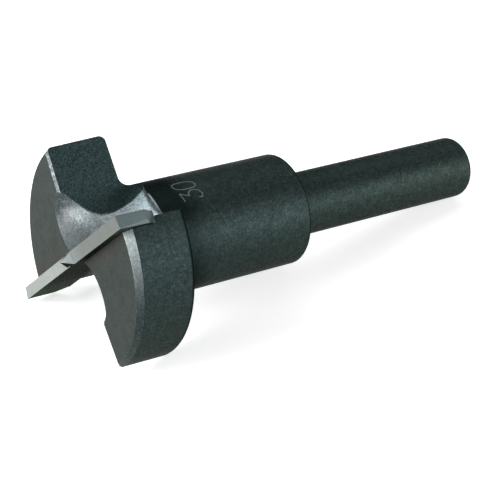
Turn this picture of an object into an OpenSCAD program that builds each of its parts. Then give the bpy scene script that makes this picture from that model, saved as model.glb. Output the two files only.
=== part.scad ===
// Forstner bit with a brazed carbide cutter plate, lying at rest on a table.
// It rests on one corner of the plate, the heel of one wing and the end of the shank.
// The bit is built along its own axis: X along the plate, Y across it, Z to the tip,
// with Z = 0 at the front faces of the wings. It is laid down as the last step.

/* [Shank] */
// Diameter of the straight shank
shank_d = 8; // [6:0.5:10]
// Length of the shank behind the body
shank_len = 28.7; // [20:0.5:45]
// Round on the edge of the free end
shank_end_round = 1.3; // [0.4:0.1:2]

/* [Body] */
// Diameter of the thick body
body_d = 14; // [12.5:0.5:18]
// Length of the thick body behind the head
body_len = 20.7; // [16:0.5:35]
// Round on the rear edge of the body
body_rear_round = 0.5; // [0.2:0.1:1.5]
// Fillet between the body and the back of the head
neck_fillet = 1.2; // [0.4:0.1:2]

/* [Head] */
// Diameter over the two wings
head_d = 27.3; // [24:0.1:28.6]
// Thickness of the wings along the axis
head_len = 7.8; // [6:0.1:12]
// Front chamfer of the wings, measured across the axis
front_chamfer = 0.8; // [0.3:0.1:1.2]
// Front chamfer of the wings, measured along the axis
front_chamfer_len = 0.95; // [0.3:0.05:1.5]
// Round on the back edge of the wings
back_round = 0.8; // [0.3:0.1:1.5]
// Angle at which each front face falls away behind its cutting edge
face_relief = 1.8; // [0:0.1:4]

/* [Gullets] */
// Place of each flat wall at the front face, measured from the axis
wall_offset = -0.1; // [-0.6:0.1:0.6]
// Angle of each flat wall to the axis
wall_tilt = 7.6; // [0:0.2:10]
// Height of the gullet floor above the middle of the plate
floor_height = 0.1; // [0:0.05:0.4]
// Round between the flat wall and the floor
corner_round = 4; // [2.5:0.1:5]
// Distance from the front face to the start of the run-out
runout_start = 5; // [4:0.1:7]
// Radius of the rising run-out at the floor
runout_r = 12.7; // [10:0.1:16]
// Distance from the front face to the end wall of the run-out
end_depth = 8.4; // [8.2:0.1:10]
// Lean of the end wall
end_lean = 43; // [20:1:55]
// Direction in which the end wall leans, turned from the plate
end_turn = 31; // [15:1:45]
// Chamfer along the front edge of the flat wall
wall_chamfer = 0.3; // [0.1:0.05:0.6]

/* [Centre scoops] */
// Radius of the scoop that opens the gullet at the centre
scoop_r = 2.5; // [1.5:0.1:3]
// Slant of the scoop to the axis
scoop_slant = 51; // [35:1:60]
// Shift of the scoop along the plate
scoop_shift = -0.2; // [-0.8:0.1:0.4]

/* [Cutter plate] */
// Cutting diameter
cut_d = 30; // [29:0.5:34]
// Thickness of the plate
plate_t = 1.5; // [1:0.1:2.2]
// Depth of the plate's seat behind the front faces
seat_depth = 4; // [3.4:0.1:5.5]
// Height of the cutting edges above the front faces
edge_height = 1.3; // [0.8:0.1:2]
// Relief angle behind each cutting edge
edge_relief = 7; // [3:0.5:12]
// Relief angle behind each side edge
side_relief = 5; // [2:0.5:10]
// Rise of the second relief along each side of the plate
under_rise = 5.5; // [2:0.5:8]
// Relief angle of the second relief
under_relief = 40; // [25:1:55]
// Straight length of each side edge
side_len = 3.6; // [1:0.1:3.7]
// How far the plate ends lie inside the wings at the seat
seat_inset = 0.1; // [0:0.05:0.4]
// Height of the centre point above the cutting edges
point_height = 1.1; // [0.6:0.1:2]
// Width of the centre point along the plate
point_w = 2; // [1.2:0.1:3]
// Solder gap on each face of the plate
solder_gap = 0.05; // [0.02:0.01:0.1]

/* [Hidden] */
$fn = 96;
steel_colour = [0.16, 0.18, 0.18];
carbide_colour = [0.62, 0.65, 0.64];
half_turn = 180;
square_turn = 90;
shank_r = shank_d / 2;
body_r = body_d / 2;
head_r = head_d / 2;
cut_r = cut_d / 2;
half_t = plate_t / 2;
z_head_back = -head_len;
z_body_rear = z_head_back - body_len;
z_end = z_body_rear - shank_len;
// The scoop just reaches the face of the plate at the front
scoop_height = half_t + scoop_r / cos(scoop_slant);
// A length past every surface of the bit, for cutting blocks
reach = cut_d + head_len;

// The three points of rest: foot of a plate side, wing heel and shank end
tip = [-cut_r, -half_t, edge_height - side_len];
heel_z = z_head_back + back_round;
heel_x = -(wall_offset - heel_z * tan(wall_tilt));
heel = [heel_x, -sqrt(head_r * head_r - heel_x * heel_x), heel_z];
ring_z = z_end + shank_end_round;
ring_r = shank_r - shank_end_round;
lever = (tip.z - ring_z) / (heel.z - tip.z);
rest_a = tip.x + (tip.x - heel.x) * lever;
rest_b = tip.y + (tip.y - heel.y) * lever;
// Direction of the table seen along the axis, and the slope of the axis to the table
turn = atan2(rest_b, rest_a) - acos(shank_r / norm([rest_a, rest_b]));
slope = (cos(turn) * (tip.x - heel.x) + sin(turn) * (tip.y - heel.y)) / (heel.z - tip.z);
tilt = atan(slope);
tip_drop = cos(turn) * tip.x + sin(turn) * tip.y;
axis_height = tip_drop * cos(tilt) + tip.z * sin(tilt);
// Ends of the lying bit along the table
point_z = edge_height + point_height;
far_end = -ring_z * cos(tilt) + ring_r * abs(sin(tilt)) + shank_end_round;
near_end = max(point_z * cos(tilt), edge_height * cos(tilt) - tip_drop * sin(tilt));
middle = (far_end - near_end) / 2;

module lie() {
    translate([-middle, 0, axis_height])
        rotate([0, -tilt - square_turn, 0])
            rotate([0, 0, half_turn - turn])
                children();
}

module both_sides() {
    for (side = [0, half_turn])
        rotate([0, 0, side])
            children();
}

// Outline of the turned blank, from the axis outwards
module blank_outline() {
    translate([0, z_end])
        square([ring_r, shank_len + shank_end_round]);
    translate([0, ring_z])
        square([shank_r, shank_len]);
    translate([ring_r, ring_z])
        circle(shank_end_round);
    rear_r = body_r - body_rear_round;
    translate([0, z_body_rear])
        square([rear_r, body_len]);
    translate([0, z_body_rear + body_rear_round])
        square([body_r, body_len]);
    translate([rear_r, z_body_rear + body_rear_round])
        circle(body_rear_round);
    difference() {
        translate([0, z_head_back - neck_fillet])
            square([body_r + neck_fillet, neck_fillet + back_round]);
        translate([body_r + neck_fillet, z_head_back - neck_fillet])
            circle(neck_fillet);
    }
    heel_r = head_r - back_round;
    translate([0, z_head_back])
        square([heel_r, back_round + back_round]);
    translate([heel_r, heel_z])
        circle(back_round);
    polygon([
        [0, heel_z],
        [head_r, heel_z],
        [head_r, -front_chamfer_len],
        [head_r - front_chamfer, 0],
        [0, 0]
    ]);
}

// Front face of one wing, falling away from the plate
module face_cut() {
    rotate([-face_relief, 0, 0])
        translate([-reach, 0, 0])
            cube([2 * reach, reach, reach]);
}

// Frame of one flat wall: the wall is the plane X = 0
module wall_frame() {
    translate([wall_offset, 0, 0])
        rotate([0, -wall_tilt, 0])
            children();
}

// Section of the gullet, with its round corner between wall and floor
module gullet_section() {
    translate([corner_round, floor_height])
        square(reach);
    translate([0, floor_height + corner_round])
        square(reach);
    translate([corner_round, floor_height + corner_round])
        circle(corner_round);
}

// The same corner turned about the centre of the run-out
module runout() {
    flat_r = runout_r - corner_round;
    translate([0, floor_height + runout_r, -runout_start])
        rotate([0, square_turn, 0])
            rotate_extrude() {
                square([flat_r, reach]);
                translate([0, corner_round])
                    square([runout_r, reach]);
                translate([flat_r, corner_round])
                    circle(corner_round);
            }
}

// Everything in front of the leaning end wall
module before_end_wall() {
    rotate([0, 0, end_turn])
        translate([body_r, 0, -end_depth])
            rotate([0, -end_lean, 0])
                translate([-reach, -reach, 0])
                    cube([2 * reach, 2 * reach, reach]);
}

// Open quarter of the head outside the body
module open_quarter() {
    difference() {
        wall_frame()
            translate([0, floor_height, z_head_back - 2 * neck_fillet])
                cube(reach);
        translate([0, 0, -reach])
            cylinder(h = 2 * reach, r = body_r);
    }
}

// Slanted round-ended slot that opens the gullet at the centre
module scoop() {
    intersection() {
        translate([scoop_shift, scoop_height, 0])
            rotate([-scoop_slant, 0, 0]) {
                cylinder(h = 2 * head_len, r = scoop_r, center = true);
                translate([0, -scoop_r, -head_len])
                    cube([head_r, 2 * scoop_r, 2 * head_len]);
            }
        translate([-reach, half_t, -reach])
            cube(2 * reach);
    }
}

module gullet() {
    open_quarter();
    intersection() {
        wall_frame() {
            translate([0, 0, -runout_start])
                linear_extrude(reach)
                    gullet_section();
            runout();
        }
        before_end_wall();
    }
    scoop();
    translate([wall_offset, 0, 0])
        rotate([-face_relief, 0, 0])
            rotate([0, square_turn / 2, 0])
                translate([0, reach / 2, 0])
                    cube([wall_chamfer * sqrt(2), reach, wall_chamfer * sqrt(2)], center = true);
}

module seat() {
    seat_t = plate_t + 2 * solder_gap;
    translate([-reach, -seat_t / 2, -seat_depth])
        cube([2 * reach, seat_t, reach]);
}

module steel_body() {
    color(steel_colour)
        lie()
            difference() {
                rotate_extrude()
                    intersection() {
                        blank_outline();
                        translate([0, z_end])
                            square([head_r, -z_end]);
                    }
                both_sides() {
                    face_cut();
                    gullet();
                }
                seat();
            }
}

// Outline of one half of the plate, seen across its face
module half_plate_outline() {
    seat_r = head_r - seat_inset;
    foot_z = edge_height - side_len;
    polygon([
        [0, -seat_depth],
        [seat_r, -seat_depth],
        [seat_r, max(foot_z - (cut_r - seat_r), -seat_depth)],
        [cut_r, foot_z],
        [cut_r, edge_height],
        [0, edge_height]
    ]);
}

// One half of the plate, ground back behind its front and side edges
module half_plate() {
    difference() {
        rotate([square_turn, 0, 0])
            linear_extrude(plate_t, center = true)
                half_plate_outline();
        translate([0, half_t, edge_height])
            rotate([edge_relief, 0, 0])
                translate([-reach, -reach, 0])
                    cube([2 * reach, 2 * reach, reach]);
        translate([cut_r, half_t, 0])
            rotate([0, 0, -side_relief])
                translate([0, -reach, -reach])
                    cube(2 * reach);
        translate([cut_r - plate_t * tan(side_relief), -half_t, edge_height])
            rotate([under_rise, 0, 0])
                rotate([0, 0, -under_relief])
                    translate([0, -reach, -reach])
                        cube(2 * reach);
    }
}

// Four-sided centre point
module centre_point() {
    base_z = edge_height - plate_t * tan(edge_relief);
    intersection() {
        rotate([square_turn, 0, 0])
            linear_extrude(plate_t, center = true)
                polygon([[-point_w / 2, base_z], [point_w / 2, base_z], [0, point_z]]);
        rotate([square_turn, 0, square_turn])
            linear_extrude(point_w, center = true)
                polygon([[-half_t, base_z], [half_t, base_z], [0, point_z]]);
    }
}

module carbide_plate() {
    color(carbide_colour)
        lie() {
            both_sides()
                half_plate();
            centre_point();
        }
}

steel_body();
carbide_plate();
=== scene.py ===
import math

import bmesh
import bpy
from bpy.props import FloatProperty, FloatVectorProperty, PointerProperty
from mathutils import Matrix, Vector


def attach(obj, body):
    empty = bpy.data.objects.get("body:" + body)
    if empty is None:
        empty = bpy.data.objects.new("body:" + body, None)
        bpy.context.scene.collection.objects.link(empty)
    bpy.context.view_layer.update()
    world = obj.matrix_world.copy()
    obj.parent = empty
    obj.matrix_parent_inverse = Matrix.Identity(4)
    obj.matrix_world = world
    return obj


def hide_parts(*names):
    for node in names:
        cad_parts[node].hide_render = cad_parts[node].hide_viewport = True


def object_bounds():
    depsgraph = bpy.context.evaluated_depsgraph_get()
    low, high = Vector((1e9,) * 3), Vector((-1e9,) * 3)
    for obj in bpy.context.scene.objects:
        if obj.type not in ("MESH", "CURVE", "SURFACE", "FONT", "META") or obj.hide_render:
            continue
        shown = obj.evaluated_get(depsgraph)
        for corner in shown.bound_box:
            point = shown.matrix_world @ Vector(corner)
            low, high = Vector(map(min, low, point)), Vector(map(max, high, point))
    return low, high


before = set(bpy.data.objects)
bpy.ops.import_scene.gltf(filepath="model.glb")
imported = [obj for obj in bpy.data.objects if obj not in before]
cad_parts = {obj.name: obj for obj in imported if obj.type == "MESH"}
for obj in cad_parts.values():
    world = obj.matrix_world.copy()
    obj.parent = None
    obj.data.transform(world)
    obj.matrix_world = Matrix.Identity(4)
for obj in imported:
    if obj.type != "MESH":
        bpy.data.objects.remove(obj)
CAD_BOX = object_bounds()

bl_info = {
    "name": "Forstner bit",
    "version": (1, 0, 0),
    "blender": (4, 5, 0),
    "location": "View3D > Sidebar > Forstner bit",
    "description": "Dresses a blackened forstner bit with a brazed carbide plate",
    "category": "Object",
}

MM = 0.001
BODY = "root"
WHITE = (1.0, 1.0, 1.0)

# The bit's own frame has u along the plate, h across the plate and w towards the tip, with
# w = 0 at the front faces of the wings, all in millimetres. The bit lies tilted and rolled.
REST_TILT = 7.41610
REST_ROLL = 134.09695
FRONT_POINT = Vector((-27.18748, 0.0, 11.18179))
LIE = (
    Matrix.Rotation(math.radians(REST_TILT - 90.0), 3, "Y")
    @ Matrix.Rotation(math.radians(180.0 + REST_ROLL), 3, "Z")
)
AXES = tuple(LIE.col[i].copy() for i in range(3))

# Forms of the steel body that the finishes follow
BARREL_R = 7.0
HEAD_R = 13.65
HEAD_BACK = -6.9
GULLET_END = -11.6
WALL_TILT = math.radians(7.6)
WALL_NORMAL = Vector((math.cos(WALL_TILT), 0.0, math.sin(WALL_TILT)))

# Edges of the pieces
MERGE_DIST = 1e-7
FLAT_TURN = math.radians(0.3)
SHARP_TURN = math.radians(16.0)
BROKEN_TURN = math.radians(28.0)


def lying(u, h, w):
    """A point of the bit's own frame in millimetres, as it lies, in metres."""
    return (LIE @ Vector((u, h, w)) + FRONT_POINT) * MM


def upright(point):
    """A lying point in metres, back in the bit's own frame in millimetres."""
    return LIE.transposed() @ (Vector(point) / MM - FRONT_POINT)


def colour(name, description, default):
    """A colour that the user can change."""
    return FloatVectorProperty(
        name=name, description=description, default=default,
        subtype="COLOR", size=3, min=0.0, max=1.0)


def share(name, description, default):
    """A value from 0 to 1 that the user can change."""
    return FloatProperty(
        name=name, description=description, default=default,
        subtype="FACTOR", min=0.0, max=1.0)


def length(name, description, default):
    """A length in metres that the user can change."""
    return FloatProperty(
        name=name, description=description, default=default,
        subtype="DISTANCE", unit="LENGTH", min=0.0, precision=6)


def power(name, description, default):
    """The power of a lamp in watts that the user can change."""
    return FloatProperty(
        name=name, description=description, default=default, unit="POWER", min=0.0)


class BitFinish(bpy.types.PropertyGroup):
    """Colours and roughness of the bit's surfaces"""
    black: colour(
        "Black steel", "Blackened turned steel, where it is darkest",
        (0.0225, 0.0360, 0.0345))
    # Also the colour of the painted shade on the scoop and the run-out
    thin_black_and_shade: colour(
        "Black steel, thin", "Blackened turned steel, where the black is thin",
        (0.055, 0.075, 0.075))
    # Painted shade: a darker, greener tone of the black steel on the underside near the table
    underside_shade_black: colour(
        "Black steel, below", "Blackened turned steel near the table",
        (0.0240, 0.0355, 0.0305))
    edge_tint: colour(
        "Black steel, aslant", "How much blackened steel shines when seen aslant",
        (0.32, 0.34, 0.33))
    # Painted light: the same blackened steel as the barrel, painted paler for the light and
    # bounce the wall gets
    wall: colour(
        "Gullet wall", "Blackened wall of the gullet", (0.050, 0.081, 0.083))
    ground: colour(
        "Ground face", "Front face of a wing, ground and stained", (0.0265, 0.037, 0.0305))
    heat_tint: colour(
        "Heat tint", "Stain that the brazing left beside the plate", (0.046, 0.039, 0.033))
    # Painted highlight: the pale colour of the scoop, the run-out, the bevel and some edge
    # lines, where the rough steel catches the light
    highlit: colour(
        "Blasted steel", "Bare blasted steel of the scoop", (0.76, 0.86, 0.89))
    # Painted glints: the colour of the bright grains
    sparkle: colour(
        "Sparkle", "Bright grains of the blasted steel", (0.88, 0.94, 0.96))
    edge: colour(
        "Broken edge", "Steel that shows through along the edges", (0.34, 0.38, 0.40))
    carbide: colour(
        "Carbide", "Ground flanks of the cutting plate", (0.235, 0.257, 0.240))
    # Painted shade: the plate's outer sides, painted darker than its flanks
    carbide_side: colour(
        "Carbide side", "Outer sides of the cutting plate", (0.17, 0.22, 0.23))
    # Painted highlight: the point's facets that face the tip, painted paler than its flanks
    carbide_point: colour(
        "Carbide point", "Bright facets of the centre point", (0.44, 0.49, 0.50))
    # Painted shade: the plate's long sides and underside, darker towards the middle
    stained: colour(
        "Stained carbide", "Long sides and underside of the plate, dark from the brazing",
        (0.115, 0.148, 0.112))
    braze: colour(
        "Braze", "Dark seam between plate and seat", (0.062, 0.068, 0.056))
    mark: colour(
        "Size mark", "Lightly scratched size number", (0.090, 0.118, 0.118))
    black_rough: share("Black roughness", "Roughness of the blackened steel", 0.52)
    ground_rough: share("Ground roughness", "Roughness of the ground faces", 0.62)
    bare_rough: share("Bare roughness", "Roughness of the bare steel", 0.5)
    carbide_rough: share("Carbide roughness", "Roughness of the cutting plate", 0.42)
    mark_rough: share("Mark roughness", "Roughness of the size number", 0.6)


class BitSizes(bpy.types.PropertyGroup):
    """Sizes that the dressing adds to the solids"""
    edge_break: length("Edge break", "Width of the broken edges", 0.00009)
    plate_break: length("Plate break", "Width of the plate's broken edges", 0.00004)
    mark_height: length("Mark height", "Height of the size number", 0.0029)
    mark_width: length("Mark width", "Width of one digit", 0.0016)
    mark_line: length("Mark line", "Width of the scratched line", 0.00026)
    mark_depth: length("Mark depth", "Height of the scratched burr", 0.00003)


class BitStage(bpy.types.PropertyGroup):
    """Camera, floor and lights"""
    camera_place: FloatVectorProperty(
        name="Camera place", description="Where the camera stands",
        default=(-0.0901194, -0.1376333, 0.1117730), subtype="TRANSLATION", unit="LENGTH")
    camera_turn: FloatVectorProperty(
        name="Camera turn", description="Which way the camera looks",
        default=(math.radians(56.1968), math.radians(1.6701), math.radians(-33.2993)),
        subtype="EULER", unit="ROTATION")
    camera_lens: FloatProperty(
        name="Lens", description="Focal length on a 36 mm sensor",
        default=111.999, unit="CAMERA")
    floor_size: length("Floor size", "Side of the floor", 4.0)
    floor: colour("Floor", "Colour of the floor", (0.92, 0.92, 0.92))
    floor_white: share(
        "Floor white", "White that the floor shows to the camera and to metal", 0.62)
    key_power: power("Key light", "Power of the low wide light at the front right", 3.3)
    left_power: power("Left light", "Power of the light on the head's front", 3.9)
    back_power: power("Back light", "Power of the light behind", 1.2)
    top_power: power("Top light", "Power of the light above on the right", 0.6)
    room: share("Room light", "Strength of the light from all round", 0.15)


# Sockets of Blender's colour mix node
MIX_AMOUNT, MIX_FIRST, MIX_SECOND, MIX_RESULT = 0, 6, 7, 2


class Shading:
    """A node tree with short calls for making nodes and links"""

    def __init__(self, tree):
        self.tree = tree
        tree.nodes.clear()

    def node(self, kind, settings=None, **inputs):
        """A new node. An underscore in the name of an input stands for a space."""
        made = self.tree.nodes.new(kind)
        for key, value in (settings or {}).items():
            setattr(made, key, value)
        for key, value in inputs.items():
            self.put(made, key.replace("_", " "), value)
        return made

    def put(self, node, key, value):
        """Links a socket to an input, or sets the input to a number or colour."""
        socket = node.inputs[key]
        if isinstance(value, bpy.types.NodeSocket):
            self.tree.links.new(value, socket)
        elif socket.type == "RGBA" and len(value) == 3:
            socket.default_value = (*value, 1.0)
        else:
            socket.default_value = value

    def math(self, operation, *values):
        """The result of one operation."""
        made = self.node("ShaderNodeMath", {"operation": operation})
        for i, value in enumerate(values):
            self.put(made, i, value)
        return made.outputs[0]

    def chain(self, operation, first, *others):
        """The result of one operation on all the values in turn."""
        for other in others:
            first = self.math(operation, first, other)
        return first

    def times(self, *values):
        """All the values multiplied."""
        return self.chain("MULTIPLY", *values)

    def most(self, *values):
        """The largest of the values."""
        return self.chain("MAXIMUM", *values)

    def ramp(self, value, span):
        """A smooth mask. Its span is where it starts and ends, and what it is there."""
        made = self.node("ShaderNodeMapRange", {"interpolation_type": "SMOOTHSTEP"})
        for i, number in enumerate((value, *span)):
            self.put(made, i, number)
        return made.outputs[0]

    def mix(self, amount, first, second):
        """The first colour where the amount is 0, the second where it is 1."""
        made = self.node("ShaderNodeMix", {"data_type": "RGBA"})
        self.put(made, MIX_AMOUNT, amount)
        self.put(made, MIX_FIRST, first)
        self.put(made, MIX_SECOND, second)
        return made.outputs[MIX_RESULT]

    def noise(self, place, per_mm, detail, rough):
        """Soft noise with that many grains in a millimetre."""
        made = self.node(
            "ShaderNodeTexNoise", Vector=place, Scale=per_mm / MM,
            Detail=detail, Roughness=rough)
        return made.outputs["Fac"]


def group(name, inputs, outputs):
    """An empty shader node group with these sockets, and its input and output nodes."""
    tree = bpy.data.node_groups.new(name, "ShaderNodeTree")
    sh = Shading(tree)
    for socket, kind in inputs:
        tree.interface.new_socket(socket, in_out="INPUT", socket_type=kind)
    for socket in outputs:
        tree.interface.new_socket(socket, in_out="OUTPUT", socket_type="NodeSocketFloat")
    return tree, sh, sh.node("NodeGroupInput"), sh.node("NodeGroupOutput")


def bit_frame_group():
    """Where a surface point is in the bit's own frame, in millimetres.

    The gullet side is above 0 on the side of the plate where a wing has its gullet.
    """
    tree, sh, given, out = group(
        "bit_frame", [("Place", "NodeSocketVector")],
        ("Along plate", "From plate", "To tip", "Radius", "Gullet side"))
    moved = sh.node("ShaderNodeVectorMath", {"operation": "SUBTRACT"})
    sh.put(moved, 0, given.outputs["Place"])
    sh.put(moved, 1, FRONT_POINT * MM)
    parts = []
    for axis in AXES:
        dot = sh.node("ShaderNodeVectorMath", {"operation": "DOT_PRODUCT"})
        sh.put(dot, 0, moved.outputs[0])
        sh.put(dot, 1, axis / MM)
        parts.append(dot.outputs["Value"])
    along, across, to_tip = parts
    square = sh.math("ADD", sh.times(along, along), sh.times(across, across))
    sh.put(out, "Along plate", along)
    sh.put(out, "From plate", sh.math("ABSOLUTE", across))
    sh.put(out, "To tip", to_tip)
    sh.put(out, "Radius", sh.math("SQRT", square))
    sh.put(out, "Gullet side", sh.times(along, across))
    return tree


# The grain: how coarse its second layer is, what each layer adds to the height, from what
# height a grain is bright, and how many clouds of the mottle there are in a millimetre
COARSE_GRAIN = 0.37
FINE_PART, COARSE_PART = 0.6, 0.4
# The bright grains are painted glints, pale dots in the colour
BRIGHT_FROM, BRIGHT_WIDEN, BRIGHT_SOFT = 0.78, 0.5, 0.10
TONE_SPAN = (0.33, 0.67)
MOTTLE_PER_MM = 0.55


def grain_group():
    """Fine grain: a height for the bump, a mask of bright grains for painted glints, a tone
    and a mottle.
    """
    tree, sh, given, out = group(
        "grain",
        [("Place", "NodeSocketVector"), ("Grains per mm", "NodeSocketFloat"),
         ("Bright share", "NodeSocketFloat")],
        ("Height", "Bright", "Tone", "Mottle"))
    place, per_mm, bright = given.outputs[:3]
    fine_scale = sh.times(per_mm, 1.0 / MM)
    fine = sh.node(
        "ShaderNodeTexNoise", Vector=place, Scale=fine_scale, Detail=1.0, Roughness=0.6)
    coarse = sh.node(
        "ShaderNodeTexNoise", Vector=place, Scale=sh.times(fine_scale, COARSE_GRAIN),
        Detail=2.0, Roughness=0.6)
    height = sh.math("ADD", sh.times(fine.outputs["Fac"], FINE_PART),
                     sh.times(coarse.outputs["Fac"], COARSE_PART))
    cut = sh.math("SUBTRACT", BRIGHT_FROM, sh.times(bright, BRIGHT_WIDEN))
    grains = sh.ramp(fine.outputs["Fac"], (cut, sh.math("ADD", cut, BRIGHT_SOFT)))
    tone = sh.ramp(height, TONE_SPAN)
    mottle = sh.noise(place, MOTTLE_PER_MM, detail=3.0, rough=0.55)
    for i, value in enumerate((height, grains, tone, mottle)):
        sh.put(out, i, value)
    return tree


def shared(name, maker):
    """The shader node group of that name, made the first time it is asked for."""
    return bpy.data.node_groups.get(name) or maker()


class Finish(Shading):
    """A material with one Principled shader, the bit's frame and the grain at hand"""

    def __init__(self, name):
        self.material = bpy.data.materials.new(name)
        self.material.use_nodes = True
        super().__init__(self.material.node_tree)
        self.bsdf = self.node("ShaderNodeBsdfPrincipled")
        self.node("ShaderNodeOutputMaterial", Surface=self.bsdf.outputs["BSDF"])
        self.here = self.node("ShaderNodeTexCoord").outputs["Object"]

    def place_group(self, tree, *values):
        """The outputs of a shared node group, placed with these values."""
        made = self.node("ShaderNodeGroup", {"node_tree": tree})
        for i, value in enumerate(values):
            self.put(made, i, value)
        return made.outputs

    def bit_frame(self):
        """Where the surface is in the bit's own frame."""
        return self.place_group(shared("bit_frame", bit_frame_group), self.here)

    def grain(self, per_mm, bright):
        """The shared grain, with its number in a millimetre and its share of bright ones."""
        return self.place_group(shared("grain", grain_group), self.here, per_mm, bright)

    def bump(self, height, depth, strength):
        """Roughens the surface by a height, to a depth in metres."""
        made = self.node("ShaderNodeBump", Height=height, Distance=depth, Strength=strength)
        self.set(Normal=made.outputs["Normal"])

    def set(self, **inputs):
        """Sets inputs of the shader. An underscore stands for a space."""
        for key, value in inputs.items():
            self.put(self.bsdf, key.replace("_", " "), value)


def scaled(paint, factor):
    """A darker or paler tone of a colour."""
    return tuple(c * factor for c in paint)


# The finishes follow. The span of a mask is where it starts and ends, in millimetres of the
# bit's own frame or in the grain's own values, and then what the mask is at its start and
# end, unless it goes from 0 to 1.
WHOLE = (0.0, 1.0)
FADE = (1.0, 0.0)
MOTTLE_SPAN = (0.3, 0.7)
BARE_METAL = 0.85

# Painted glints: how much the bright grains pale the colour, and how pale they get
GLINT_AMOUNT = 0.6
GLINT_GAIN = 2.4


def speckled(m, paint, contrast, grain):
    """Colour of a dark skin with a fine grain: dark and pale grains, and a few bright ones as
    painted glints.
    """
    skin = m.mix(
        grain["Tone"], scaled(paint, 1.0 - contrast), scaled(paint, 1.0 + contrast))
    return m.mix(m.times(grain["Bright"], GLINT_AMOUNT), skin, scaled(paint, GLINT_GAIN))


PIT_SPAN = (0.36, 0.58)
PIT_TONE = 0.6
SPARKLE_AMOUNT = 0.8


def painted_highlight_colour(m, finish, grain):
    """Colour of the highlit steel: darker pits, pale steel and bright grains, a painted
    highlight with painted glints.
    """
    pits = m.mix(m.ramp(grain["Height"], PIT_SPAN),
                 scaled(finish.highlit, PIT_TONE), finish.highlit)
    return m.mix(m.times(grain["Bright"], SPARKLE_AMOUNT), pits, finish.sparkle)


BLACK_CONTRAST = 0.32
# Metres above the table over which the painted underside shade fades out
ABOVE_TABLE = (0.004, 0.011, *FADE)
# Painted shade behind the head, and painted shadow lines along the back edges of head and
# barrel
BEHIND_HEAD = (-15.5, -11.0, 0.0, 0.7)
BARREL_SKIN = (7.2, 8.0, *FADE)
HEAD_BACK_EDGE = (-7.4, -7.0, 0.9, 0.0)
HEAD_RIM = (12.6, 12.9)
BARREL_BACK_EDGE = (-28.3, -27.9, 0.8, 0.0)
BARREL_RIM = (6.4, 6.6)
PAINTED_SHADE_TONE = 0.3
PAINTED_SHADE_METAL = (*WHOLE, 0.6, 1.0)
# Painted highlight on the barrel where the run-out ends
BESIDE_GULLET = (5.0, 7.0)
LIP_AT = (-8.72, -8.52)
LIP_REACH = (4.2, 4.6, *FADE)
LIP_AMOUNT = 0.5
ROUGH_SPREAD = 0.03


def black_steel(finish):
    """Blackened turned steel of the shank, the barrel and the rim of the head, with painted
    shade on the underside, behind the head and along the back edges, and a painted highlight
    on the barrel where the run-out ends.
    """
    m = Finish("blackened_steel")
    at = m.bit_frame()
    to_tip, radius = at["To tip"], at["Radius"]
    grain = m.grain(per_mm=3.6, bright=0.24)
    height = m.node("ShaderNodeSeparateXYZ", Vector=m.here).outputs["Z"]
    # Painted shade: darker, greener black on the underside near the table
    skin = m.mix(m.ramp(height, ABOVE_TABLE),
                 speckled(m, finish.black, BLACK_CONTRAST, grain),
                 speckled(m, finish.underside_shade_black, BLACK_CONTRAST, grain))
    # Painted shade behind the head and painted shadow lines along the back edges, darker and
    # more metallic
    painted_shade = m.most(
        m.times(m.ramp(to_tip, BEHIND_HEAD), m.ramp(radius, BARREL_SKIN)),
        m.times(m.ramp(to_tip, HEAD_BACK_EDGE), m.ramp(radius, HEAD_RIM)),
        m.times(m.ramp(to_tip, BARREL_BACK_EDGE), m.ramp(radius, BARREL_RIM)))
    skin = m.mix(painted_shade, skin, scaled(finish.black, PAINTED_SHADE_TONE))
    # Painted highlight where the run-out ends
    lip_highlight = m.times(m.ramp(at["Gullet side"], BESIDE_GULLET), m.ramp(to_tip, LIP_AT),
                  m.ramp(at["From plate"], LIP_REACH), LIP_AMOUNT)
    rough = m.ramp(grain["Mottle"], (
        *MOTTLE_SPAN, finish.black_rough + ROUGH_SPREAD, finish.black_rough - ROUGH_SPREAD))
    m.set(Base_Color=m.mix(lip_highlight, skin, finish.highlit), Metallic=m.ramp(painted_shade, PAINTED_SHADE_METAL),
          Specular_IOR_Level=0.15, Specular_Tint=finish.edge_tint, Roughness=rough)
    m.bump(grain["Height"], depth=0.00003, strength=1.0)
    return m.material


WALL_CONTRAST = 0.35
# Where the wall meets the scoop, a straight side given by its parts of h and w and its
# distance, and the round corner, a side that bends away further back
SCOOP_ACROSS, SCOOP_TO_TIP, SCOOP_OFF = 0.629, 0.777, 5.469
CORNER_SIDE, CORNER_BEND, CORNER_CURVE = 4.1, -5.0, 0.065
SIDES_BLEND = 2.2
RAGGED = 1.2
# Painted highlight: where the wall takes the scoop's pale colour
WALL_HIGHLIGHT = (0.45, 0.75, *FADE)


def gullet_wall(finish):
    """Blackened flat wall of the gullet, taking the scoop's painted highlight towards the
    scoop and the run-out.
    """
    m = Finish("gullet_wall")
    at = m.bit_frame()
    across, to_tip = at["From plate"], at["To tip"]
    grain = m.grain(per_mm=6.0, bright=0.38)
    from_scoop = m.math("SUBTRACT", m.times(across, SCOOP_ACROSS),
                        m.math("MULTIPLY_ADD", to_tip, SCOOP_TO_TIP, SCOOP_OFF))
    past = m.most(m.math("SUBTRACT", CORNER_BEND, to_tip), 0.0)
    from_corner = m.math("SUBTRACT", m.math("SUBTRACT", across, CORNER_SIDE),
                         m.times(past, past, CORNER_CURVE))
    inside = m.math("SMOOTH_MIN", from_scoop, from_corner, SIDES_BLEND)
    ragged = m.math("ADD", inside, m.times(grain["Height"], RAGGED))
    skin = speckled(m, finish.wall, WALL_CONTRAST, grain)
    # Painted highlight where the scoop's pale colour reaches onto the wall
    m.set(Base_Color=m.mix(m.ramp(ragged, WALL_HIGHLIGHT), skin, painted_highlight_colour(m, finish, grain)),
          Metallic=1.0, Specular_Tint=finish.edge_tint, Roughness=finish.black_rough)
    m.bump(grain["Height"], depth=0.00006, strength=1.0)
    return m.material


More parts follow.
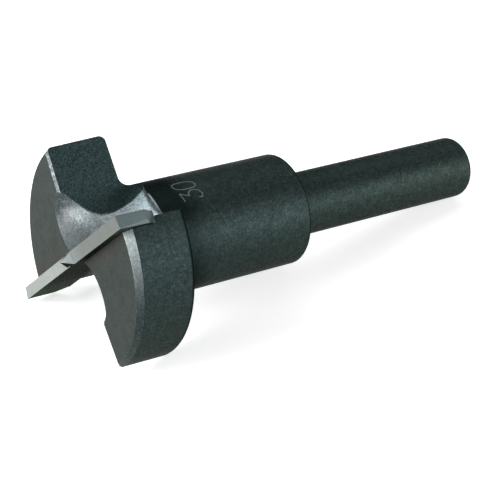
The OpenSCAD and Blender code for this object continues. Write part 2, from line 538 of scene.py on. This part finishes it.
BRAZE_STAIN = (0.8, 4.0, *FADE)
STAIN_MOTTLE = (0.25, 0.65, 0.2, 0.7)
CLOUD_DARK, CLOUD_PALE = 0.72, 1.08
# Pale specks: random tone, and bright grains that are painted glints
SPECK_TONE, SPECK_BRIGHT = 0.35, 0.4


def ground_face(finish):
    """Ground front face of a wing, mottled, and stained brown beside the plate."""
    m = Finish("ground_face")
    across = m.bit_frame()["From plate"]
    grain = m.grain(per_mm=4.2, bright=0.16)
    stain = m.times(m.ramp(across, BRAZE_STAIN), m.ramp(grain["Mottle"], STAIN_MOTTLE))
    cloud = m.mix(m.ramp(grain["Mottle"], MOTTLE_SPAN),
                  scaled(finish.ground, CLOUD_DARK), scaled(finish.ground, CLOUD_PALE))
    specks = m.math("ADD", m.times(grain["Tone"], SPECK_TONE),
                    m.times(grain["Bright"], SPECK_BRIGHT))
    plain = m.mix(specks, cloud, finish.thin_black_and_shade)
    m.set(Base_Color=m.mix(stain, plain, finish.heat_tint),
          Metallic=BARE_METAL, Roughness=finish.ground_rough)
    m.bump(grain["Height"], depth=0.00002, strength=0.8)
    return m.material


# Painted shade on the scoop beside the plate and towards its far side, and at the end of the
# run-out, made patchy by the grain
BESIDE_PLATE = (0.9, 2.4, 0.35, 0.0)
SCOOP_FAR = (5.0, 6.8, 0.0, 0.86)
SCOOP_END = (6.4, 8.0, 0.0, 0.16)
IN_SCOOP = (-4.4, -3.4)
RUN_OUT_END = (-10.5, -10.0, 0.9, 0.0)
SCOOP_SHADE_GRAIN = (0.1, 0.9, 1.08, 0.94)
# Painted highlight towards the front of the scoop
SCOOP_FRONT = (-3.2, -1.2)
FRONT_TONE = (0.2, 0.65, 0.3, 1.0)


def blasted_steel(finish):
    """Pale steel of the scoop, the round corner and the run-out: a painted highlight on the
    rough steel, with painted shade beside the plate, towards the scoop's far side and at the
    end of the run-out, and a paler painted highlight towards the front.
    """
    m = Finish("blasted_steel")
    at = m.bit_frame()
    across, to_tip = at["From plate"], at["To tip"]
    grain = m.grain(per_mm=4.8, bright=0.40)
    far = m.math("ADD", m.ramp(across, SCOOP_FAR), m.ramp(across, SCOOP_END))
    # Painted shade beside the plate, towards the far side and at the end of the run-out
    scoop_shade_part = m.times(m.most(m.ramp(across, BESIDE_PLATE), far), m.ramp(to_tip, IN_SCOOP))
    scoop_shade = m.times(m.most(scoop_shade_part, m.ramp(to_tip, RUN_OUT_END)),
                   m.ramp(grain["Tone"], SCOOP_SHADE_GRAIN))
    # Painted highlight towards the front
    bright = m.times(m.ramp(to_tip, SCOOP_FRONT), m.ramp(grain["Tone"], FRONT_TONE))
    highlit_tone = m.mix(bright, painted_highlight_colour(m, finish, grain), finish.sparkle)
    m.set(Base_Color=m.mix(scoop_shade, highlit_tone, finish.thin_black_and_shade),
          Metallic=BARE_METAL, Roughness=finish.bare_rough)
    m.bump(grain["Height"], depth=0.00010, strength=1.0)
    return m.material


def rubbing_and_glints(m, span):
    """Uneven mask: worn-through places on the broken edges, and painted glints on the front
    bevel.
    """
    return m.ramp(m.noise(m.here, per_mm=2.6, detail=2.0, rough=0.6), span)


# Painted highlight on the bevel, fading away from the plate, and painted glints along its
# inner edge
BEVEL_FADE = (0.8, 12.0, *FADE)
BEVEL_DARK, BEVEL_PALE = 0.52, 0.82
BEVEL_INNER = (-0.24, -0.12)
BEVEL_RUBBED = (0.40, 0.62, 0.1, 0.8)


def front_bevel(finish):
    """Bevel round the front of a wing, with a pale painted highlight beside the plate that
    fades to black further away, and painted glints along its inner edge.
    """
    m = Finish("front_bevel")
    at = m.bit_frame()
    across, to_tip = at["From plate"], at["To tip"]
    grain = m.grain(per_mm=4.6, bright=0.30)
    left = m.ramp(across, BEVEL_FADE)
    highlit_tone = m.mix(grain["Tone"], scaled(finish.highlit, BEVEL_DARK),
                 scaled(finish.highlit, BEVEL_PALE))
    black = speckled(m, finish.black, BLACK_CONTRAST, grain)
    faded = m.mix(m.times(left, left), black, highlit_tone)
    wear_and_glint = m.times(m.ramp(to_tip, BEVEL_INNER), rubbing_and_glints(m, BEVEL_RUBBED), left)
    m.set(Base_Color=m.mix(wear_and_glint, faded, finish.sparkle),
          Metallic=BARE_METAL, Roughness=finish.bare_rough)
    m.bump(grain["Height"], depth=0.00006, strength=1.0)
    return m.material


EDGE_RUBBED = (0.46, 0.62)
# Painted highlight on the line between a wing's front and the gullet's wall
LINE_ACROSS = (8.0, 8.5)
LINE_FRONT = (-0.9, -0.8)
LINE_RADIUS = (13.0, 13.2, *FADE)
LINE_TONE = (0.2, 0.8, 0.12, 0.5)
# Painted highlight on the line round the run-out, on the barrel
RUN_OUT_FRONT = (-8.1, -7.9, *FADE)
RUN_OUT_BACK = (-12.2, -12.0)


def broken_edge(finish):
    """Thin bright line along an edge, worn through in places, with painted highlights along
    the line beside the gullet's wall and the line round the run-out.
    """
    m = Finish("broken_edge")
    at = m.bit_frame()
    across, to_tip = at["From plate"], at["To tip"]
    grain = m.grain(per_mm=4.0, bright=0.25)
    wall_line_highlight = m.times(m.ramp(across, LINE_ACROSS), m.ramp(to_tip, LINE_FRONT),
                          m.ramp(at["Radius"], LINE_RADIUS), m.ramp(grain["Tone"], LINE_TONE))
    wear_and_glint = m.most(wall_line_highlight, rubbing_and_glints(m, EDGE_RUBBED))
    plain = m.mix(wear_and_glint, finish.thin_black_and_shade, finish.edge)
    run_out_highlight = m.times(m.ramp(to_tip, RUN_OUT_FRONT), m.ramp(to_tip, RUN_OUT_BACK))
    m.set(Base_Color=m.mix(run_out_highlight, plain, finish.highlit),
          Metallic=0.6, Roughness=finish.bare_rough)
    m.bump(grain["Height"], depth=0.00003, strength=0.8)
    return m.material


def grinding_lines(m, along):
    """Fine lines across the cutting edge, as the wheel leaves them."""
    made = m.node("ShaderNodeTexNoise", {"noise_dimensions": "1D"},
                  W=along, Scale=9.0, Detail=3.0, Roughness=0.7)
    m.bump(made.outputs["Fac"], depth=0.000006, strength=0.8)
    return made.outputs["Fac"]


LINES_PART, CLOUD_PART = 0.4, 0.6
PLATE_MIDDLE = (-6.0, 6.0)
PALE_END, DARK_END = 1.38, 0.68
PLATE_DIRT = (0.35, 0.65, 0.22, 0.0)
SEAM_RADIUS = (13.3, 13.5, *FADE)
SEAM_FRONT = (-0.5, 0.1, *FADE)


def ground_carbide(name, paint, finish):
    """Ground carbide, paler towards one end, with the dark braze along its seat."""
    m = Finish(name)
    at = m.bit_frame()
    along = at["Along plate"]
    cloud = m.noise(m.here, per_mm=0.6, detail=5.0, rough=0.7)
    tone = m.math("ADD", m.times(grinding_lines(m, along), LINES_PART),
                  m.times(cloud, CLOUD_PART))
    clean = m.mix(m.ramp(along, PLATE_MIDDLE),
                  scaled(paint, PALE_END), scaled(paint, DARK_END))
    plain = m.mix(m.ramp(tone, PLATE_DIRT), clean, finish.braze)
    seam = m.times(m.ramp(at["Radius"], SEAM_RADIUS), m.ramp(at["To tip"], SEAM_FRONT))
    m.set(Base_Color=m.mix(seam, plain, finish.braze),
          Metallic=0.95, Roughness=finish.carbide_rough)
    return m.material


# Painted shade on the plate's long sides and underside, darker towards the middle
CARBIDE_SHADE_RADIUS = (5.0, 13.0)
CARBIDE_SHADE_TONE = 0.3
CARBIDE_SHADE_SHINE = 0.06


def stained_carbide(finish):
    """Long sides and underside of the plate in painted shade, darker towards the middle."""
    m = Finish("stained_carbide")
    at = m.bit_frame()
    grinding_lines(m, at["Along plate"])
    skin = m.mix(m.ramp(at["Radius"], CARBIDE_SHADE_RADIUS),
                 scaled(finish.stained, CARBIDE_SHADE_TONE), finish.stained)
    m.set(Base_Color=skin, Metallic=0.93, Specular_Tint=scaled(WHITE, CARBIDE_SHADE_SHINE),
          Roughness=finish.carbide_rough)
    return m.material


MARK_FAINT = (0.25, 0.55)


def scratched_mark(finish):
    """Scratched line of the size number."""
    m = Finish("scratched_mark")
    faint = m.ramp(m.noise(m.here, per_mm=1.6, detail=3.0, rough=0.6), MARK_FAINT)
    m.set(Base_Color=m.mix(faint, finish.thin_black_and_shade, finish.mark),
          Metallic=0.2, Roughness=finish.mark_rough)
    burr = m.noise(m.here, per_mm=8.0, detail=2.0, rough=0.5)
    m.bump(burr, depth=0.00002, strength=0.8)
    return m.material


def merged_copy(node):
    """A bmesh of a CAD node with its loose triangles joined and its flat faces made whole."""
    bm = bmesh.new()
    bm.from_mesh(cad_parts[node].data)
    bmesh.ops.remove_doubles(bm, verts=bm.verts, dist=MERGE_DIST)
    bmesh.ops.dissolve_limit(bm, angle_limit=FLAT_TURN, verts=bm.verts, edges=bm.edges)
    return bm


def break_edges(bm, width):
    """Breaks the sharp outer edges of a solid and returns the new narrow faces."""
    edges = [e for e in bm.edges
             if e.is_manifold and e.calc_face_angle_signed(0.0) > BROKEN_TURN]
    made = bmesh.ops.bevel(
        bm, geom=edges, offset=width, offset_type="OFFSET", segments=1, profile=0.5,
        affect="EDGES", clamp_overlap=True)
    bm.normal_update()
    return set(made["faces"])


def linked(name, data):
    """A mesh, curve, lamp or camera as an object of the scene, at the origin."""
    made = bpy.data.objects.new(name, data)
    bpy.context.scene.collection.objects.link(made)
    return made


def finished_piece(bm, name, materials, narrow):
    """The bmesh as a piece, smooth but for its sharp edges and its broken ones."""
    for face in bm.faces:
        face.smooth = True
    for edge in bm.edges:
        sharp = edge.is_manifold and edge.calc_face_angle(0.0) > SHARP_TURN
        edge.smooth = not (sharp or any(f in narrow for f in edge.link_faces))
    mesh = bpy.data.meshes.new(name)
    bm.to_mesh(mesh)
    bm.free()
    for material in materials:
        mesh.materials.append(material)
    return linked(name, mesh)


# How well a face of the steel body has to face a way to count as that surface
FACES_FRONT = 0.97
FACES_WALL = 0.9995
FACES_SIDE = 0.999
FACES_OUT = 0.9
FACES_BACK = -0.1
ASLANT_OUT = 0.6
ASLANT_FRONT = 0.5
# Where a surface of the steel body is to be found, in millimetres
FRONT_FROM = -1.0
RIM_DEPTH = 1.0
TURNED_SLACK = 0.06
LINE_FROM = 8.0


def body_surface(face):
    """Which finish a face of the steel body has."""
    u, h, w = upright(face.calc_center_median())
    n = LIE.transposed() @ face.normal
    if h < 0.0:
        u, h = -u, -h
        n = Vector((-n.x, -n.y, n.z))
    radius = math.hypot(u, h)
    outwards = (n.x * u + n.y * h) / max(radius, MERGE_DIST)
    in_front = w > FRONT_FROM
    if n.z > FACES_FRONT and in_front:
        return "ground_face"
    if n.dot(WALL_NORMAL) > FACES_WALL:
        return "gullet_wall"
    if min(n.x, n.z) > ASLANT_OUT and h > LINE_FROM:
        return "broken_edge"
    on_rim = radius > HEAD_R - RIM_DEPTH and outwards > ASLANT_OUT
    if on_rim and in_front and n.z > ASLANT_FRONT:
        return "front_bevel"
    turned = radius > BARREL_R - TURNED_SLACK and outwards > FACES_OUT
    behind = n.z < FACES_BACK and w < HEAD_BACK
    if turned or behind or w < GULLET_END or abs(n.y) > FACES_SIDE:
        return "black_steel"
    return "blasted_steel"


class BIT_OT_steel_body(bpy.types.Operator):
    """Dress the one-piece steel body: shank, barrel and head with its two gullets"""
    bl_idname = "bit.steel_body"
    bl_label = "Steel body"

    def execute(self, context):
        finish, sizes = context.scene.bit_finish, context.scene.bit_sizes
        bm = merged_copy("steel_body")
        narrow = break_edges(bm, sizes.edge_break)
        makers = {
            "black_steel": black_steel, "gullet_wall": gullet_wall,
            "ground_face": ground_face, "blasted_steel": blasted_steel,
            "front_bevel": front_bevel, "broken_edge": broken_edge}
        names = list(makers)
        for face in bm.faces:
            surface = "broken_edge" if face in narrow else body_surface(face)
            face.material_index = names.index(surface)
        materials = [maker(finish) for maker in makers.values()]
        piece = finished_piece(bm, "bit_steel_body", materials, narrow)
        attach(piece, BODY)
        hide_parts("steel_body")
        return {"FINISHED"}


# How well a face of the plate has to face a way to count as that surface
PLATE_LONG_SIDE = 0.8
PLATE_END = 0.7
PLATE_POINT = 0.5


def plate_surface(face):
    """Which finish a face of the cutting plate has."""
    n = LIE.transposed() @ face.normal
    if abs(n.y) > PLATE_LONG_SIDE or n.z < -PLATE_LONG_SIDE:
        return "stained_carbide"
    # Painted light: end faces take a darker or a paler copy of the carbide colour
    if abs(n.x) > PLATE_END:
        return "carbide_point" if n.z > PLATE_POINT else "carbide_side"
    return "ground_carbide"


class BIT_OT_carbide_plate(bpy.types.Operator):
    """Dress the brazed cutting plate"""
    bl_idname = "bit.carbide_plate"
    bl_label = "Carbide plate"

    def execute(self, context):
        finish, sizes = context.scene.bit_finish, context.scene.bit_sizes
        bm = merged_copy("carbide_plate")
        narrow = break_edges(bm, sizes.plate_break)
        paints = {
            "ground_carbide": finish.carbide, "carbide_side": finish.carbide_side,
            "carbide_point": finish.carbide_point}
        names = [*paints, "stained_carbide"]
        for face in bm.faces:
            face.material_index = names.index(plate_surface(face))
        materials = [ground_carbide(name, paint, finish) for name, paint in paints.items()]
        materials.append(stained_carbide(finish))
        piece = finished_piece(bm, "bit_carbide_plate", materials, narrow)
        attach(piece, BODY)
        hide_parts("carbide_plate")
        return {"FINISHED"}


# The digits are drawn in a box one wide and one high: the 3 through these points, the 0 as a
# squarish oval. They stand on the barrel, where the lengths are in millimetres and the start
# is in degrees round the barrel.
THREE = (
    (0.08, 1.06), (0.86, 1.03), (0.50, 0.69), (0.76, 0.66), (1.00, 0.48),
    (1.04, 0.30), (0.84, 0.14), (0.52, 0.10), (0.22, 0.20), (0.24, 0.36))
STROKE_STEPS = 12
ZERO_STEPS = 48
ZERO_POWER = 0.75
ZERO_HALF_WIDTH, ZERO_HALF_HEIGHT = 0.44, 0.5
MARK_TOP = -12.45
MARK_START = 17.5
MARK_GAP = 0.27
MARK_SLOPE = 0.2
LINE_SIDES = 6


def squared(value):
    """Sine or cosine pushed outwards, which makes an oval squarer."""
    return math.copysign(abs(value) ** ZERO_POWER, value)


def zero_stroke():
    """The closed stroke of the 0."""
    turns = (2.0 * math.pi * i / ZERO_STEPS for i in range(ZERO_STEPS))
    return [(0.5 + ZERO_HALF_WIDTH * squared(math.cos(turn)),
             0.5 + ZERO_HALF_HEIGHT * squared(math.sin(turn))) for turn in turns]


def stepped(stroke):
    """An open stroke in short steps, so that it follows the round barrel."""
    points = [stroke[0]]
    for start, end in zip(stroke, stroke[1:]):
        for i in range(1, STROKE_STEPS + 1):
            part = i / STROKE_STEPS
            points.append(tuple(a + (b - a) * part for a, b in zip(start, end)))
    return points


def on_barrel(x, y, lift):
    """A point of the size number, x round the barrel and y towards the tip."""
    turn = math.radians(MARK_START) + x / BARREL_R
    r = BARREL_R + lift
    return lying(r * math.cos(turn), r * math.sin(turn), MARK_TOP + y)


def mark_tree(material):
    """Geometry nodes that sweep a thin round line along the strokes of a number."""
    tree = bpy.data.node_groups.new("scratched_line", "GeometryNodeTree")
    face = tree.interface
    face.new_socket("Geometry", in_out="INPUT", socket_type="NodeSocketGeometry")
    face.new_socket("Line width", in_out="INPUT", socket_type="NodeSocketFloat")
    face.new_socket("Geometry", in_out="OUTPUT", socket_type="NodeSocketGeometry")
    new, link = tree.nodes.new, tree.links.new
    given, out = new("NodeGroupInput"), new("NodeGroupOutput")
    half = new("ShaderNodeMath")
    half.operation = "MULTIPLY"
    half.inputs[1].default_value = 0.5
    circle = new("GeometryNodeCurvePrimitiveCircle")
    circle.inputs["Resolution"].default_value = LINE_SIDES
    sweep = new("GeometryNodeCurveToMesh")
    sweep.inputs["Fill Caps"].default_value = True
    whole = new("GeometryNodeRealizeInstances")
    painted = new("GeometryNodeSetMaterial")
    painted.inputs["Material"].default_value = material
    link(given.outputs["Line width"], half.inputs[0])
    link(half.outputs[0], circle.inputs["Radius"])
    link(given.outputs["Geometry"], sweep.inputs["Curve"])
    link(circle.outputs["Curve"], sweep.inputs["Profile Curve"])
    link(sweep.outputs["Mesh"], whole.inputs["Geometry"])
    link(whole.outputs["Geometry"], painted.inputs["Geometry"])
    link(painted.outputs["Geometry"], out.inputs["Geometry"])
    return tree


def size_strokes(sizes):
    """A curve with the strokes of the size number, in place on the barrel."""
    wide, high = sizes.mark_width / MM, sizes.mark_height / MM
    lift = (sizes.mark_depth - sizes.mark_line / 2.0) / MM
    curve = bpy.data.curves.new("size_strokes", "CURVE")
    curve.dimensions = "3D"
    digits = ((stepped(THREE), False), (zero_stroke(), True))
    for digit, (stroke, closed) in enumerate(digits):
        spline = curve.splines.new("POLY")
        spline.points.add(len(stroke) - 1)
        spline.use_cyclic_u = closed
        for point, (x, y) in zip(spline.points, stroke):
            along = digit * (wide + MARK_GAP) + x * wide
            up = (y - 1.0) * high + along * MARK_SLOPE
            point.co = (*on_barrel(along, up, lift), 1.0)
    return curve


class BIT_OT_size_mark(bpy.types.Operator):
    """Scratch the plain size number on the barrel"""
    bl_idname = "bit.size_mark"
    bl_label = "Size mark"

    def execute(self, context):
        finish, sizes = context.scene.bit_finish, context.scene.bit_sizes
        strokes = linked("size_strokes", size_strokes(sizes))
        tree = mark_tree(scratched_mark(finish))
        modifier = strokes.modifiers.new("scratched_line", "NODES")
        modifier.node_group = tree
        socket = next(s for s in tree.interface.items_tree
                      if s.name == "Line width" and s.in_out == "INPUT")
        modifier[socket.identifier] = sizes.mark_line
        graph = context.evaluated_depsgraph_get()
        mesh = bpy.data.meshes.new_from_object(strokes.evaluated_get(graph), depsgraph=graph)
        if not mesh.polygons:
            raise RuntimeError("the size number came out empty")
        mesh.name = "bit_size_mark"
        bpy.data.objects.remove(strokes)
        piece = linked("bit_size_mark", mesh)
        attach(piece, BODY)
        return {"FINISHED"}


# Each lamp: degrees to the left of the front, degrees up, and its width and height in metres
LAMPS = {
    "key": (-43.0, 13.0, (0.60, 0.24)),
    "left": (103.0, 27.0, (0.28, 0.45)),
    "back": (175.0, 35.0, (0.40, 0.20)),
    "top": (-118.0, 46.0, (0.40, 0.30)),
}
LAMP_DISTANCE = 0.60
SENSOR_WIDTH = 36.0
LENS_SHIFT = (-0.0011, 0.0009)
CLIP_START = 0.01


def towards(turn, rise):
    """Where a lamp stands: turned to the left from the front, and raised, in degrees."""
    turn, rise = math.radians(turn), math.radians(rise)
    flat = LAMP_DISTANCE * math.cos(rise)
    return Vector((-flat * math.sin(turn), -flat * math.cos(turn),
                   LAMP_DISTANCE * math.sin(rise)))


def area_light(name, place, aim, size, watts):
    """A soft rectangular lamp that shines on a point."""
    lamp = bpy.data.lights.new(name, "AREA")
    lamp.shape = "RECTANGLE"
    lamp.size, lamp.size_y = size
    lamp.energy = watts
    holder = linked(name, lamp)
    holder.location = place
    holder.rotation_euler = (aim - place).to_track_quat("-Z", "Y").to_euler()


def floor_paint(stage):
    """Matt pale paint that shows white to the camera, metal and glass, and keeps shadows."""
    paint = bpy.data.materials.new("floor_paint")
    paint.use_nodes = True
    sh = Shading(paint.node_tree)
    rays = sh.node("ShaderNodeLightPath").outputs
    seen = sh.most(
        rays["Is Camera Ray"], rays["Is Glossy Ray"], rays["Is Transmission Ray"])
    matt = sh.node("ShaderNodeBsdfDiffuse", Color=tuple(stage.floor), Roughness=0.0)
    glow = sh.node(
        "ShaderNodeEmission", Color=WHITE, Strength=sh.times(seen, stage.floor_white))
    both = sh.node("ShaderNodeAddShader")
    sh.put(both, 0, matt.outputs[0])
    sh.put(both, 1, glow.outputs[0])
    sh.node("ShaderNodeOutputMaterial", Surface=both.outputs[0])
    return paint


def floor_mesh(stage):
    """A square floor under the lowest point of the bit."""
    half, low = stage.floor_size / 2.0, CAD_BOX[0].z
    mesh = bpy.data.meshes.new("floor")
    mesh.from_pydata(
        [(-half, -half, low), (half, -half, low), (half, half, low), (-half, half, low)],
        [], [(0, 1, 2, 3)])
    mesh.materials.append(floor_paint(stage))
    return mesh


def room_light(stage):
    """A world that lights the bit evenly from all round."""
    world = bpy.data.worlds.new("room")
    world.use_nodes = True
    sh = Shading(world.node_tree)
    room = sh.node("ShaderNodeBackground", Color=WHITE, Strength=stage.room)
    sh.node("ShaderNodeOutputWorld", Surface=room.outputs[0])
    return world


def stage_camera(stage):
    """The camera at the photograph's viewing angle."""
    lens = bpy.data.cameras.new("camera")
    lens.lens = stage.camera_lens
    lens.sensor_width = SENSOR_WIDTH
    lens.shift_x, lens.shift_y = LENS_SHIFT
    lens.clip_start = CLIP_START
    holder = linked("camera", lens)
    holder.location = stage.camera_place
    holder.rotation_euler = stage.camera_turn
    return holder


class BIT_OT_stage(bpy.types.Operator):
    """Set up the floor, the lights and the camera"""
    bl_idname = "bit.stage"
    bl_label = "Stage"

    def execute(self, context):
        scene, stage = context.scene, context.scene.bit_stage
        linked("floor", floor_mesh(stage))
        middle = (CAD_BOX[0] + CAD_BOX[1]) / 2.0
        for name, (turn, rise, size) in LAMPS.items():
            watts = getattr(stage, name + "_power")
            area_light(name, towards(turn, rise), middle, size, watts)
        scene.world = room_light(stage)
        scene.view_settings.view_transform = "Standard"
        scene.camera = stage_camera(stage)
        return {"FINISHED"}


class BIT_PT_panel(bpy.types.Panel):
    """Steps and values of the forstner bit"""
    bl_label = "Forstner bit"
    bl_space_type = "VIEW_3D"
    bl_region_type = "UI"
    bl_category = "Forstner bit"

    def draw(self, context):
        for step in STEPS:
            self.layout.operator(step.bl_idname)
        for group_name, kind in VALUES.items():
            for name in kind.__annotations__:
                self.layout.prop(getattr(context.scene, group_name), name)


STEPS = (BIT_OT_steel_body, BIT_OT_carbide_plate, BIT_OT_size_mark, BIT_OT_stage)
VALUES = {"bit_finish": BitFinish, "bit_sizes": BitSizes, "bit_stage": BitStage}
CLASSES = (*VALUES.values(), *STEPS, BIT_PT_panel)


def register():
    for kind in CLASSES:
        bpy.utils.register_class(kind)
    for name, kind in VALUES.items():
        setattr(bpy.types.Scene, name, PointerProperty(type=kind))


def unregister():
    for name in VALUES:
        delattr(bpy.types.Scene, name)
    for kind in reversed(CLASSES):
        bpy.utils.unregister_class(kind)


def main():
    register()
    bpy.ops.bit.steel_body()
    bpy.ops.bit.carbide_plate()
    bpy.ops.bit.size_mark()
    bpy.ops.bit.stage()


if __name__ == "__main__":
    main()
